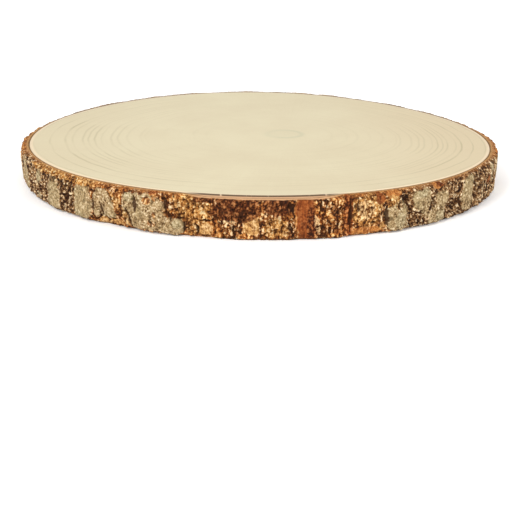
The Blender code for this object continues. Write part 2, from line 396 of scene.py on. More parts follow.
def wood_tree():
    inputs = {"Solid": "Object", "Pith": "Vector", "Material": "Material"}
    inputs |= dict.fromkeys(("Thickness", "Ease"), "Float")
    tree, given = new_tree("sawn disc", inputs)
    nodes = Value(tree)
    rows = FACE_ROWS + SIDE_ROWS + FOOT_ROWS
    sheet = {"Size X": 1.0, "Size Y": 1.0, "Vertices X": WOOD_SPOKES + 1, "Vertices Y": rows + 1}
    grid = nodes.node("GeometryNodeMeshGrid", {}, sheet)
    place = nodes.node("GeometryNodeInputPosition")
    turn = (place.part(0) + 0.5) * math.tau
    down = place.part(1) + 0.5
    face_end = FACE_ROWS / rows
    side_end = (FACE_ROWS + SIDE_ROWS) / rows
    growth = down.step(0.0, face_end, False) - down.step(side_end, 1.0, False)
    height_share = 1.0 - down.step(face_end, side_end)
    circle = {0: turn.math("COSINE", turn), 1: turn.math("SINE", turn)}
    direction = nodes.node("ShaderNodeCombineXYZ", {}, circle)
    start = given["Pith"].moved_by((given["Thickness"] * 0.5).upright())
    solid = nodes.node("GeometryNodeObjectInfo", {}, {"Object": given["Solid"]}, "Geometry")
    rim = ray_hit(solid, start, direction, "Hit Distance")
    height = height_share * given["Thickness"]
    from_edge = height.least(given["Thickness"] - height)
    ease = (1.0 - (from_edge / given["Ease"]).least(1.0)) ** 2.0
    radius = growth * rim - ease * given["Ease"] * growth.step(EASED_FROM, 1.0)
    point = given["Pith"].moved_by(direction.scaled(radius)).moved_by(height.upright())
    disc = keep(grid, "growth", growth)
    disc = nodes.node("GeometryNodeSetPosition", {}, {"Geometry": disc, "Position": point})
    disc = nodes.node("GeometryNodeMergeByDistance", {}, {"Geometry": disc, "Distance": SEAM_MERGE})
    end_tree(disc, given["Material"])
    return tree


wood_material = bpy.data.materials.new("sawn wood")
sizes = {
    "Solid": wood_solid,
    "Pith": PITH,
    "Thickness": thickness,
    "Ease": WOOD_EASE,
    "Material": wood_material,
}
sawn_wood = grow("sawn_wood", wood_tree(), sizes)
print(f"wood {count_triangles(sawn_wood.data)} triangles, {enclosed_volume(sawn_wood.data):.0f} cubic cm")

# %% [markdown]
# ## The finish of the wood
#
# Freshly sawn pale wood is almost one colour, and each ring ends in a thin line that is a few percent
# darker. The growth value makes the rings, and two kinds of noise make them wander and differ in strength.
# Faint streaks run from the pith, the last ring is the palest, and the disc is warmer on its right.

# %% The finish of the wood
# Each ring by the growth at which it lies, how dark its line is, and how wide
RINGS = (
    (0.981, 0.70, 0.005),
    (0.922, 0.75, 0.006),
    (0.867, 1.00, 0.008),
    (0.840, 0.40, 0.007),
    (0.800, 0.60, 0.007),
    (0.779, 0.60, 0.006),
    (0.755, 0.75, 0.007),
    (0.730, 0.30, 0.006),
    (0.692, 0.55, 0.008),
    (0.665, 0.60, 0.008),
    (0.628, 0.45, 0.009),
    (0.573, 0.50, 0.009),
    (0.553, 0.35, 0.008),
    (0.482, 0.30, 0.012),
    (0.420, 0.20, 0.012),
    (0.362, 0.40, 0.014),
    (0.310, 0.25, 0.014),
    (0.236, 0.30, 0.014),
)
# The little oval round the pith shows best
HEART_RING = 0.085
# Where the bark has shrunk from the wood, with a painted shadow along the wood's edge: the middle, how far to
# either side it is open and where it has closed, and how far in front it starts
SEAM_AT_X = 0.003
SEAM_OPEN = 0.028
SEAM_CLOSED = 0.042
SEAM_IN_FRONT = (0.1, 0.11)


def surface(material):
    """The start of a material's expressions, its Principled shader, and its Object coordinates."""
    material.use_nodes = True
    nodes = Value(material.node_tree)
    shader = material.node_tree.nodes["Principled BSDF"]
    place = nodes.node("ShaderNodeTexCoord", output="Object")
    return nodes, shader, place


def attribute(nodes, name, output="Fac"):
    """A value stored at each point, in a material."""
    return nodes.node("ShaderNodeAttribute", {"attribute_name": name}, {}, output)


def shades(value, *stops):
    """The colour that a ramp has at a value. Each stop is a position and a colour as in paint."""
    painted = [(position, paint(*colour)) for position, *colour in stops]
    return value.node("ShaderNodeValToRGB", {"stops": painted}, {0: value})


def connect(value, shader, socket):
    value.tree.links.new(value.socket, shader.inputs[socket])


def finish_wood(material):
    nodes, shader, place = surface(material)
    growth = attribute(nodes, "growth")
    age = growth + (place.grain(0.05) - 0.5) * 0.05 + (place.grain(0.016) - 0.5) * 0.008
    lines = 0.0
    for ring, strength, width in RINGS:
        lines = ((1.0 - age.away_from(ring).step(0.0, width)) * strength).most(lines)
    broken = place.grain(0.03, 2.0, 0.5, seed=4.0).step(0.36, 0.62)
    aside = place.part(0).away_from(0.0).step(0.0, 0.09)
    behind = place.part(1).step(0.02, 0.1)
    old = 0.5 + 0.5 * growth.step(0.55, 0.8)
    lines = lines * old * (0.25 + 0.75 * broken) * (0.3 + 0.7 * aside) * (1.0 - 0.65 * behind)
    from_pith = nodes.node("ShaderNodeVectorMath", {"operation": "SUBTRACT"}, {0: place, 1: PITH})
    rays = from_pith.level_direction().grain(0.02, 3.0, 0.6)
    patches = place.grain(0.05, 3.0, 0.6, seed=2.0)
    colour = patches.step(0.3, 0.75).tint(paint(212, 201, 168), paint(206, 193, 160))
    colour = (place.part(0).step(0.03, 0.13) * 0.8).tint(colour, paint(204, 185, 150))
    colour = ((-place.part(0)).step(0.05, 0.13) * 0.5).tint(colour, paint(203, 188, 154))
    colour = (rays.step(0.35, 0.75) * 0.14).tint(colour, paint(200, 184, 150))
    colour = (lines * 0.75).tint(colour, paint(176, 163, 127))
    young = growth.step(0.984, 0.993)
    colour = (young * 0.8).tint(colour, paint(231, 209, 176))
    core = (1.0 - growth.step(0.06, 0.12)) * 0.12
    heart = 1.0 - age.away_from(HEART_RING).step(0.0, 0.024)
    colour = (core + heart * broken * 0.4).tint(colour, paint(184, 180, 148))
    depth = thickness - place.part(2)
    at_front = 1.0 - place.part(0).away_from(SEAM_AT_X).step(SEAM_OPEN, SEAM_CLOSED)
    at_front = at_front * (-place.part(1)).step(*SEAM_IN_FRONT)
    # The wood's side wall just under its top edge is painted bark tan at the front and dark brown elsewhere
    side = growth.step(0.9985, 0.9995) * depth.step(0.0002, 0.0005)
    # Painted shade: a thin broken dark line along the wood's top edge at the front stands for the shadow in
    # the open seam
    painted_seam_shade = growth.step(0.9915, 0.9935) * at_front * (1.0 - depth.step(0.0004, 0.0007))
    seam_shade_stretches = place.times((1.0, 0.3, 0.0)).grain(0.004, 2.0, 0.6, seed=6.0).step(0.3, 0.42)
    colour = (side * 0.95).tint(colour, at_front.tint(paint(98, 68, 36), paint(226, 184, 142)))
    colour = (painted_seam_shade * seam_shade_stretches * 0.9).tint(colour, paint(66, 42, 18))
    speck = place.grain(0.0013, 3.0, 0.7)
    colour = (speck.step(0.52, 0.78) * 0.16).tint(colour, paint(176, 158, 122))
    connect(colour, shader, "Base Color")
    connect(0.5 + 0.12 * speck, shader, "Roughness")
    saw = place.times((1.0, 0.12, 1.0)).grain(0.0009, 2.0, 0.5)
    height = speck * 0.5 + saw * 0.5 - lines * 0.3
    bump = {"Strength": 0.12, "Distance": 0.0004, "Height": height}
    connect(nodes.node("ShaderNodeBump", {}, bump), shader, "Normal")
    shader.inputs["Specular IOR Level"].default_value = 0.25


finish_wood(wood_material)
print("wood finished with", len(wood_material.node_tree.nodes), "nodes")

# %% [markdown]
# ## A plain sheet round the trunk
#
# The bark is one closed ring: a face outside, a hidden one against the wood, and a sawn band above and
# below. It starts as a fine flat grid, rolled into a ring and closed at both seams. Rays find the packed
# solid at every point, and a blur rounds the solid's coarse facets away.

# %% A plain sheet round the trunk
BARK_COLUMNS = 1600
WALL_ROWS = 43
TOP_ROWS = 8
INNER_ROWS = 2
BOTTOM_ROWS = 5
BARK_EDGE = 0.0009
CLOSER_TO_WOOD = 0.00027
FACET_BLUR = 14
ROLLED_INNER = 0.12
ROLLED_WALL = 0.02
RAY_START = 0.2


def bark_sheet_tree():
    inputs = {"Solid": "Object", "Blur": "Int", "Material": "Material"}
    inputs |= dict.fromkeys(("Thickness", "Edge", "Closer"), "Float")
    tree, given = new_tree("bark sheet", inputs)
    nodes = Value(tree)
    rows = WALL_ROWS + TOP_ROWS + INNER_ROWS + BOTTOM_ROWS
    wall_end = WALL_ROWS / rows
    top_end = (WALL_ROWS + TOP_ROWS) / rows
    inner_end = (WALL_ROWS + TOP_ROWS + INNER_ROWS) / rows
    sheet = {"Size X": 1.0, "Size Y": 1.0, "Vertices X": BARK_COLUMNS + 1, "Vertices Y": rows + 1}
    grid = nodes.node("GeometryNodeMeshGrid", {}, sheet)
    place = nodes.node("GeometryNodeInputPosition")
    turn = (place.part(0) + 0.5) * math.tau
    round_section = place.part(1) + 0.5
    up = round_section.step(0.0, wall_end, False) - round_section.step(top_end, inner_end, False)
    out = 1.0 - round_section.step(wall_end, top_end, False) + round_section.step(inner_end, 1.0, False)
    ring = keep(keep(grid, "up", up), "out", out)
    rolled_radius = ROLLED_INNER + ROLLED_WALL * out
    rolled = {0: rolled_radius * turn.math("COSINE", turn), 1: rolled_radius * turn.math("SINE", turn)}
    rolled[2] = up * given["Thickness"]
    rolled_point = nodes.node("ShaderNodeCombineXYZ", {}, rolled)
    ring = nodes.node("GeometryNodeSetPosition", {}, {"Geometry": ring, "Position": rolled_point})
    ring = nodes.node("GeometryNodeMergeByDistance", {}, {"Geometry": ring, "Distance": SEAM_MERGE})

    direction = nodes.node("GeometryNodeInputPosition").level_direction()
    inwards = direction.times((-1.0, -1.0, 0.0))
    solid = nodes.node("GeometryNodeObjectInfo", {}, {"Object": given["Solid"]}, "Geometry")
    up_again = stored(nodes, "up")
    out_again = stored(nodes, "out")

    def hit(radius, at_height, ray, output):
        """What a ray from a point at a radius and a height finds of the solid."""
        raised = nodes.node("ShaderNodeCombineXYZ", {}, {2: at_height})
        return ray_hit(solid, direction.scaled(radius).moved_by(raised), ray, output)

    inner = hit(0.0, given["Thickness"] * 0.5, direction, "Hit Distance") - given["Closer"]
    top = hit(inner + given["Edge"], RAY_START, (0.0, 0.0, -1.0), "Hit Position").part(2)
    point_height = up_again * top
    wall_height = point_height.most(given["Edge"]).least(top - given["Edge"])
    outer = RAY_START - hit(RAY_START, wall_height, inwards, "Hit Distance")
    outer = nodes.node("GeometryNodeBlurAttribute", {}, {"Value": outer, "Iterations": given["Blur"]})
    from_edge = point_height.least(top - point_height)
    ease = (1.0 - (from_edge / given["Edge"]).least(1.0)) ** 2.0
    radius = out_again.blend(inner, outer - ease * given["Edge"])
    point = direction.scaled(radius).moved_by(point_height.upright())
    ring = nodes.node("GeometryNodeSetPosition", {}, {"Geometry": ring, "Position": point})
    end_tree(ring, given["Material"])
    return tree


bark_material = bpy.data.materials.new("bark")
sizes = {
    "Solid": bark_solid,
    "Thickness": thickness,
    "Edge": BARK_EDGE,
    "Closer": CLOSER_TO_WOOD,
    "Blur": FACET_BLUR,
    "Material": bark_material,
}
bark_sheet = grow("bark_sheet", bark_sheet_tree(), sizes)
sheet_volume = enclosed_volume(bark_sheet.data)
print(f"bark sheet {count_triangles(bark_sheet.data)} triangles, {sheet_volume:.0f} cubic cm")

# %% [markdown]
# ## What is where on the bark
#
# Old bark is a patchwork: grey plates of crust, bare orange inner bark where they have flaked off, and
# between them cracks and stretches that have crumbled to grains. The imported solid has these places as
# coarse relief, and here they get ragged edges. Each is an oval: a turn from the front in degrees, then its
# height, half width and half height in millimetres, and for some a lean in degrees.

# %% What is where on the bark
CRUST, BARED, CRACK, CRUMBLED = "crust", "bared", "crack", "crumbled"
GOLDEN, RED, MAROON, PALE = "golden", "red", "maroon", "pale"
LICHEN, WEATHERED = "lichen", "weathered"
KINDS = (CRUST, BARED, CRACK, CRUMBLED, GOLDEN, RED, MAROON, PALE, LICHEN, WEATHERED)


class Place(NamedTuple):
    """An oval place on the bark's face."""

    kind: str
    turn: float
    height: float
    half_width: float
    half_height: float
    lean: float = 0.0


FRONT_PLACES = {
    CRUST: (
        (-70, 9.5, 6.5, 9), (-58.2, 14.4, 3.6, 4.4, 28), (-51.3, 7.5, 7.2, 6.6),
        (-50.6, 14.8, 4.4, 3.2), (-40.5, 9, 6.6, 9.3), (-36.4, 10, 1.7, 6.5),
        (-33.9, 11.3, 5.3, 7.8, -12), (-24.3, 10.3, 11.9, 10.3, -5), (-17.7, 4.6, 6, 4.8),
        (29.2, 7.2, 6.2, 7.8), (34.8, 15, 5.6, 5.6), (35.4, 8.2, 2.4, 3),
        (39.6, 8.8, 5.2, 8.6), (37.3, 4.5, 2.4, 4.2), (49.5, 11.2, 6.2, 9.6),
        (56.3, 9.5, 1.5, 6), (62.2, 15, 4.2, 5), (63.2, 5.5, 1.6, 3.2),
        (70.8, 9.5, 8, 10),
    ),
    BARED: (
        (-34.8, 0.6, 3, 4.2), (-31, 2.4, 4.8, 1.7), (-28.4, 3.8, 1.1, 1.2),
        (-24.7, 2.6, 4.2, 0.9), (-10.5, 4.4, 3.2, 3.8), (-1.3, 7.4, 4.2, 4.9),
        (9.4, 10.5, 4.7, 12, -3), (22, 2.7, 9.5, 2), (24.9, 18, 2.6, 3.2),
        (25.6, 4.6, 1.5, 1.7), (27.9, 19.7, 3.8, 2.2), (39.2, 20.3, 3.2, 1.7),
    ),
    CRACK: (
        (-61.7, 13, 1.3, 1), (-60, 5.6, 2.2, 0.8), (-58, 9.2, 2.2, 0.9),
        (-56, 7.6, 1.1, 0.9), (-54.4, 8.4, 1.1, 2.2, 25), (-45.9, 10.7, 2.6, 0.8),
        (-46.2, 15.4, 1.7, 0.8), (-44.3, 6.2, 0.9, 3.6), (-37.4, 10, 0.9, 5.4),
        (-36.2, 3, 0.7, 3, 50), (-35.15, 8, 0.9, 3.4, -6), (-34.1, 3.2, 0.7, 2.4, -42),
        (-32.3, 4.2, 2.4, 0.6), (-27.8, 6.2, 0.9, 6.4, -23), (-26.2, 14, 1.3, 5, -6),
        (-19.1, 15.2, 0.9, 6, -3), (-18.3, 9.9, 0.8, 2.8, -15), (-16.1, 9.5, 1.7, 0.9),
        (-15.2, 5, 0.5, 4.4), (-12.3, 4, 0.9, 2.8), (-10.4, 9.2, 3.4, 0.6),
        (6.4, 17.7, 1.7, 1.9), (6.3, 6.6, 1.4, 1.8), (18.7, 11.5, 0.9, 9),
        (23.4, 6.4, 1.6, 0.9), (26.7, 8.3, 1, 5.2), (29, 12.8, 0.9, 1.8),
        (31.4, 12.6, 0.7, 5, -17), (41.6, 3.2, 0.9, 2.2), (44.3, 6.3, 1.4, 1.3),
        (46.6, 6.4, 0.7, 4.2), (51, 3.8, 1.4, 1.5), (52.3, 8.2, 1.1, 1.4),
        (53.4, 12.6, 0.8, 3.4), (65, 8, 2.2, 7, -10),
    ),
    CRUMBLED: (
        (-53, 19.9, 24, 1.5), (-41, 19.8, 11, 1.7), (43.4, 16.2, 3.6, 4.2),
        (-62.8, 9.2, 7.2, 9.2), (-57, 6.8, 5.2, 5.6), (-50.2, 17.2, 5, 2),
        (-45.2, 9.5, 4.6, 9.2), (-30.6, 16.5, 3.1, 3.3), (-29.8, 9.8, 2.3, 8.6, -37),
        (-23.2, 16.8, 2.4, 2), (-22.2, 5, 2.4, 1.6), (-21.4, 18.4, 1.3, 2),
        (-21.5, 9.9, 1, 1.4), (-17.8, 15.6, 2.6, 5.2), (-13.3, 14.2, 9.5, 7.3),
        (-13.4, 4.2, 3.4, 4.4), (-6.6, 4.6, 5.2, 3.9), (-5, 15.2, 11.5, 6.4),
        (3.5, 9.5, 9, 10.5), (14.3, 10.5, 6.7, 11.2), (29.2, 13.4, 2.2, 2.6),
        (32, 9.4, 2.4, 8.2, -12), (34.2, 4, 3.8, 3.5), (37.6, 13.8, 1.8, 4.2),
        (44.6, 7.6, 4.8, 7.6), (54.2, 10, 4.8, 9.4), (59.8, 9.5, 6.4, 9.6),
    ),
    GOLDEN: (
        (-53, 19.8, 24, 1.7), (-41, 19.6, 11, 2), (-34.8, 0.6, 3, 4.2),
        (-31, 2.4, 4.8, 1.7), (-29.8, 9.8, 2.6, 8.8, -37), (-28.4, 3.8, 1.1, 1.2),
        (-13.3, 14.8, 9.4, 7.2), (-12, 4.4, 6.4, 4.4), (-1.3, 7.4, 4.4, 5.2),
        (3.6, 6, 5.6, 5.4), (22.2, 12.8, 7.6, 8.2), (25.6, 4.6, 1.5, 1.7),
        (28, 15.2, 3.4, 3.6),
    ),
    RED: (
        (-22, 20.8, 2.4, 0.7), (9.6, 10.5, 4.6, 12, -3), (18.3, 11, 2.4, 11),
        (24.9, 18, 2.2, 3), (39.9, 20.2, 1.6, 1.3), (60.2, 12.4, 2.8, 1.9),
    ),
    MAROON: (
        (-11.2, 19.6, 4.2, 2.2), (-4.3, 15.4, 11.6, 6.9), (4, 17.4, 6.6, 4.6),
        (10.6, 9, 2, 8),
    ),
    PALE: (
        (-60, 8, 1.9, 1.2), (-56, 6.4, 1.2, 1.4), (-34.8, 1.2, 1.6, 1.8),
        (-28.4, 3.8, 0.9, 0.9), (-10.4, 4.4, 2.4, 2.8), (-6.2, 8.8, 4.4, 0.6),
        (-5, 5.2, 1, 1.6), (-0.7, 7.2, 1.3, 3), (11.9, 7.5, 1.4, 4.8, -10),
        (22, 9, 1.2, 1.2), (22, 13.5, 4, 5), (22.6, 4.7, 2.6, 0.5),
        (44.9, 5.6, 0.8, 0.9),
    ),
    WEATHERED: (
        (-59, 10, 40, 16), (50, 10, 58, 16), (180, 10, 250, 16),
    ),
    LICHEN: (
        (-59.6, 3.4, 3.2, 1.8), (-58, 14.4, 2.8, 3.4, 28), (-42, 2.6, 4, 2.2),
        (-27.5, 17.6, 2.6, 2.6), (-16.7, 6, 2, 2.6), (29.6, 6, 3.6, 3.4),
        (34.5, 18, 3.4, 2.2), (39.8, 4.4, 3.6, 3.2), (62, 15, 3.6, 4.4),
    ),
}
front_places = [Place(kind, *oval) for kind, ovals in FRONT_PLACES.items() for oval in ovals]
print(len(front_places), "places at the front")

# %% [markdown]
# ## The side that faces away
#
# The far side is drawn by a rule with a fixed seed. It walks round the back and sets down one plate after
# another, each an oval with its own size and lean, with a crack after it.

# %% The side that faces away
DRAW_SEED = 7
DRAWN_FROM = 75.0
DRAWN_TO = 283.0
DRAWN_LEAN = (-14.0, 14.0)
DRAWN_HALF_WIDTH = (2.5, 9.0)
DRAWN_HALF_HEIGHT = (6.0, 10.0)
DRAWN_RISE = (-4.0, 4.0)
DRAWN_SPACE = (0.5, 1.5)
DRAWN_CRACK_HALF_WIDTH = (1.2, 1.6)
DRAWN_CRACK_HALF_HEIGHT = (3.0, 8.0)
DRAWN_CRACK_RISE = (-6.0, 6.0)
CRACK_CORE = 0.7
MEAN_FACE_MM = 136.5


def drawn_places():
    """The places on the side that faces away: plates of crust between cracks and bared stretches."""
    draw = random.Random(DRAW_SEED)
    mm_per_degree = math.radians(MEAN_FACE_MM)
    middle = 1000 * thickness / 2
    places = []
    turn = DRAWN_FROM
    while turn < DRAWN_TO:
        half_width = draw.uniform(*DRAWN_HALF_WIDTH)
        turn += half_width / mm_per_degree
        height = middle + draw.uniform(*DRAWN_RISE)
        half_height = draw.uniform(*DRAWN_HALF_HEIGHT)
        lean = draw.uniform(*DRAWN_LEAN)
        kind = draw.choice((CRUST, CRUST, CRUST, BARED, CRUMBLED))
        places.append(Place(kind, turn, height, half_width, half_height, lean))
        turn += (half_width + draw.uniform(*DRAWN_SPACE)) / mm_per_degree
        crack_height = middle + draw.uniform(*DRAWN_CRACK_RISE)
        crack_length = draw.uniform(*DRAWN_CRACK_HALF_HEIGHT)
        crack_width = CRACK_CORE * draw.uniform(*DRAWN_CRACK_HALF_WIDTH)
        places.append(Place(CRACK, turn, crack_height, crack_width, crack_length, lean))
    return places


all_places = front_places + drawn_places()
print(len(all_places), "places in all")

# %% [markdown]
# ## Marking the sheet
#
# At each point of the sheet the script works out how far inside each place it lies and stores that share
# for each kind. Noise with a fixed seed bends the outlines, since Blender would otherwise draw it anew on
# each run. Where the seam is open and where the foot is worn are stored too.

# %% Marking the sheet
# How square the outline of each kind of place is: 2 is an ellipse, 1 a diamond with pointed ends
SQUARENESS = {CRUST: 3.2, CRACK: 1.3}
USUAL_SQUARENESS = 2.2
PLACE_FULL = 0.8
PLACE_END = 1.2
# How far noise bends an outline in millimetres, and over what span in metres
BROAD_BEND_MM = 1.2
BROAD_BEND_SPAN = 0.006
FINE_BEND_MM = 0.8
FINE_BEND_SPAN = 0.0021
FINE_BEND_OFFSET = 5.0
NOISE_SEED = 7
# A small place is bent less, by these two shares: one for any place and one for each millimetre
BEND_FOR_ANY = 0.3
BEND_BY_SIZE = 0.14
# The foot of the bark is worn away a little, but for one stretch at the front, as turns
WHOLE_FOOT = (-9.0, 17.7)
FOOT_BLEND = 0.6
# Where the bark has shrunk from the wood at the front, as turns
SEAM_MIDDLE = 1.2
SEAM_FULL = 12.0
SEAM_END = 17.0


def smooth_step(low, high, values):
    share = np.clip((values - low) / (high - low), 0.0, 1.0)
    return share * share * (3.0 - 2.0 * share)


def bent(points, span, offset):
    """Two columns of noise at the points, each from about -1 to 1."""
    aside = Vector((offset, offset, offset))
    return np.array([noise.noise_vector(Vector(point) / span + aside)[:2] for point in points])


def map_places(mesh, places):
    """Stores at each point how much it belongs to each kind of place, and to the open seam."""
    points = np.empty(len(mesh.vertices) * 3)
    mesh.vertices.foreach_get("co", points)
    points = points.reshape(-1, 3)
    bend = BROAD_BEND_MM * bent(points, BROAD_BEND_SPAN, 0.0)
    bend = bend + FINE_BEND_MM * bent(points, FINE_BEND_SPAN, FINE_BEND_OFFSET)
    turn = np.degrees(np.arctan2(points[:, 0], -points[:, 1]))
    height = 1000 * points[:, 2]
    shares = {kind: np.zeros(len(points)) for kind in KINDS}
    for one in places:
        bend_share = min(1.0, BEND_FOR_ANY + BEND_BY_SIZE * min(one.half_width, one.half_height))
        apart = (turn - one.turn + 180.0) % 360.0 - 180.0
        up = height - one.height + bend_share * bend[:, 1]
        along = np.radians(apart) * MEAN_FACE_MM + bend_share * bend[:, 0]
        along = along - up * math.tan(math.radians(one.lean))
        power = SQUARENESS.get(one.kind, USUAL_SQUARENESS)
        reach = np.abs(along / one.half_width) ** power + np.abs(up / one.half_height) ** power
        share = 1.0 - smooth_step(PLACE_FULL, PLACE_END, reach ** (1.0 / power))
        shares[one.kind] = np.maximum(shares[one.kind], share)
    shares["seam"] = 1.0 - smooth_step(SEAM_FULL, SEAM_END, np.abs(turn - SEAM_MIDDLE))
    into_worn = np.maximum(WHOLE_FOOT[0] - turn, turn - WHOLE_FOOT[1])
    shares["raised"] = smooth_step(-FOOT_BLEND, FOOT_BLEND, into_worn)
    for kind, share in shares.items():
        layer = mesh.attributes.new(kind, "FLOAT", "POINT")
        layer.data.foreach_set("value", share.astype(np.float32))
    return {kind: round(float(share.mean()), 3) for kind, share in shares.items()}


noise.seed_set(NOISE_SEED)
print("shares of the bark:", map_places(bark_sheet.data, all_places))

# %% [markdown]
# ## Grains and frayed outlines
#
# Crumbled bark breaks into grains a little over a millimetre across. Voronoi cells give them, but they look
# like pebbles until noise bends the space they are read in. Noise frays the outlines of the kinds too. The
# mesh and the material call these helpers with the same place and seed, so relief and colour agree.

# %% Grains and frayed outlines
CRUMB_SIZE = 0.0014
CRUMB_SEED = 3.0


class Crumbs(NamedTuple):
    """The grains that crumbled bark breaks into: how far their middle is, and two random shades."""

    near: Value
    cell: Value
    tiny: Value


def crumbs_at(place, size, seed):
    """The grains at a place. Noise bends the place first, so that they are angular and ragged."""
    there = place.bent_by(0.0018, 0.0011).times((1.0, 1.0, 0.8))
    near = there.cells(size, seed=seed)
    cell = there.cells(size, 1, seed).part(0)
    tiny = there.cells(size * 0.6, 1, seed).part(1)
    return Crumbs(near, cell, tiny)


def ragged_kinds(wanted, read, place):
    """How much a place belongs to each wanted kind, with noise that frays the outlines of the kinds."""
    fray = (place.grain(0.0016, 2.0, 0.6, seed=9.0) - 0.5) * 1.5
    shares = {}
    for kind in wanted:
        share = read(kind)
        shares[kind] = (share + fray * (1.0 - share) * share * 4.0).step(0.3, 0.7)
    return shares


print(f"grains of {1000 * CRUMB_SIZE:.1f} mm")

# %% [markdown]
# ## Relief on the face
#
# Crust is nearly smooth, with pits and wrinkles. Bared bark has fibres that run along the trunk, and
# crumbled bark is a heap of grains and flakes. Thin winding crevices split everything: they lie where a
# stretched noise passes through its middle value.

# %% Relief on the face
LUMP_HEIGHT = 0.0009
WRINKLE_HEIGHT = 0.0006
PIT_DEPTH = 0.0006
CRUST_RISE = 0.0002
FIBRE_HEIGHT = 0.0006
GROOVE_DEPTH = 0.00035
LOWERED = 0.00025


def face_relief(place, kinds, given):
    """How far each point of the face moves outwards in metres, and how much it lies in a crack."""
    crust, bared, crumbled = kinds[CRUST], kinds[BARED], kinds[CRUMBLED]
    loose = (crumbled * (1.0 - 0.6 * bared)).most((1.0 - crust) * (1.0 - bared) * 0.7)
    grains = crumbs_at(place, given["Crumb size"], given["Seed"])
    crumbs = (0.5 - grains.near) * 0.45 + (grains.cell - 0.5) * 0.9 + (grains.tiny - 0.5) * 0.7
    flakes = place.times((1.0, 1.0, 0.45)).grain(0.0022, 2.0, 0.6, seed=13.0) - 0.5
    pits = 1.0 - place.cells(0.0024, seed=2.0).step(0.16, 0.4)
    pits = pits * place.grain(0.006, 1.0, seed=6.0).step(0.42, 0.6)
    wrinkles = place.grain(0.0019, 3.0, 0.6) - 0.5
    fibres = place.times((1.0, 1.0, 0.16)).grain(0.0011, 2.0, 0.6) - 0.5
    lumps = place.grain(0.0045, 2.0, 0.5, seed=8.0) - 0.5
    groove = crust * (1.0 - crust) * 4.0

    winding = place.times((1.0, 1.0, 0.35)).grain(0.006, 2.0, 0.5, seed=1.0)
    crevice = 1.0 - winding.away_from(0.5).step(0.004, 0.022)
    crevice = crevice * place.grain(0.009, 1.0, seed=3.0).step(0.42, 0.6)
    deep = kinds[CRACK].most(crevice * (0.85 - 0.35 * crust) * (1.0 - 0.6 * bared))

    relief = loose * (crumbs + flakes * 1.4) * given["Crumb height"] - LOWERED
    relief = relief + LUMP_HEIGHT * lumps * (1.0 - 0.6 * crust)
    relief = relief + crust * (WRINKLE_HEIGHT * wrinkles - PIT_DEPTH * pits + CRUST_RISE)
    relief = relief + FIBRE_HEIGHT * bared * fibres
    relief = relief - GROOVE_DEPTH * groove
    return relief - deep * given["Crack depth"], deep


print(f"pits {1000 * PIT_DEPTH:.1f} mm deep, fibres {1000 * FIBRE_HEIGHT:.1f} mm high")

# %% [markdown]
# ## Wear at the edges, and the relief tree
#
# A saw tears dry bark, so its edges are chipped and worn. The upper edge stays sharp at the open seam and at
# the back, and the foot stays whole for one stretch at the front. The tree stores its results on the mesh,
# for the material to paint shade into the hollows, and where each point was before it moved, because the
# material has to read the grains at that same place.

# %% Wear at the edges, and the relief tree
CRUMB_HEIGHT = 0.0012
CRACK_DEPTH = 0.0012
CHIP_DEPTH = 0.0011
CHIP_REACH = 0.0018
FOOT_WEAR = 0.001
HEAD_WEAR = 0.0008
LEVEL_BEHIND = 0.0004
BACK_FROM = 0.024
BACK_FULL = 0.078
MM = 0.001


def edge_wear(nodes, place, given):
    """How far each point moves inwards at the edges, and how far it moves up, both in metres."""
    out = stored(nodes, "out")
    height = place.part(2)
    from_edge = height.least(given["Thickness"] - height)
    chipped = place.grain(0.0035, 2.0, 0.6, seed=12.0).step(0.45, 0.7) * out.step(0.7, 1.0)
    chip = CHIP_DEPTH * chipped * (1.0 - from_edge.step(0.0, CHIP_REACH))
    worn = out.step(0.4, 1.0) * (0.25 + 1.3 * place.grain(0.003, 2.0, 0.6, seed=15.0).step(0.35, 0.7))
    above = (height / given["Thickness"]).step(0.9, 0.97)
    below = 1.0 - (height / given["Thickness"]).step(0.03, 0.1)
    behind = place.part(1).step(BACK_FROM, BACK_FULL)
    sharp = stored(nodes, "seam").most(behind)
    rise = worn * (FOOT_WEAR * below * stored(nodes, "raised") - HEAD_WEAR * above * (1.0 - sharp))
    return chip, rise + LEVEL_BEHIND * above * behind


def relief_tree():
    inputs = {"Material": "Material"}
    inputs |= dict.fromkeys(("Thickness", "Crumb size", "Crumb height", "Crack depth", "Seed"), "Float")
    tree, given = new_tree("bark relief", inputs)
    nodes = Value(tree)
    place = nodes.node("GeometryNodeInputPosition")
    kinds = ragged_kinds((CRUST, BARED, CRACK, CRUMBLED), lambda kind: stored(nodes, kind), place)
    relief, deep = face_relief(place, kinds, given)
    chip, rise = edge_wear(nodes, place, given)
    amount = relief * stored(nodes, "out").step(0.55, 1.0) - chip
    move = place.level_direction().scaled(amount).moved_by(rise.upright())

    rest = {"Geometry": given["Geometry"], "Name": "rest", "Value": place}
    source = nodes.node("GeometryNodeStoreNamedAttribute", {"data_type": "FLOAT_VECTOR"}, rest)
    source = keep(source, "deep", deep)
    source = keep(source, "relief", relief / MM)
    moved = nodes.node("GeometryNodeSetPosition", {}, {"Geometry": source, "Offset": move})
    end_tree(moved, given["Material"])
    return tree


sizes = {
    "Thickness": thickness,
    "Crumb size": CRUMB_SIZE,
    "Crumb height": CRUMB_HEIGHT,
    "Crack depth": CRACK_DEPTH,
    "Seed": CRUMB_SEED,
    "Material": bark_material,
}
bark_ring = grow("bark_ring", relief_tree(), sizes, bark_sheet.data)
bpy.data.objects.remove(bark_sheet)
print(f"bark {count_triangles(bark_ring.data)} triangles, {enclosed_volume(bark_ring.data):.0f} cubic cm")
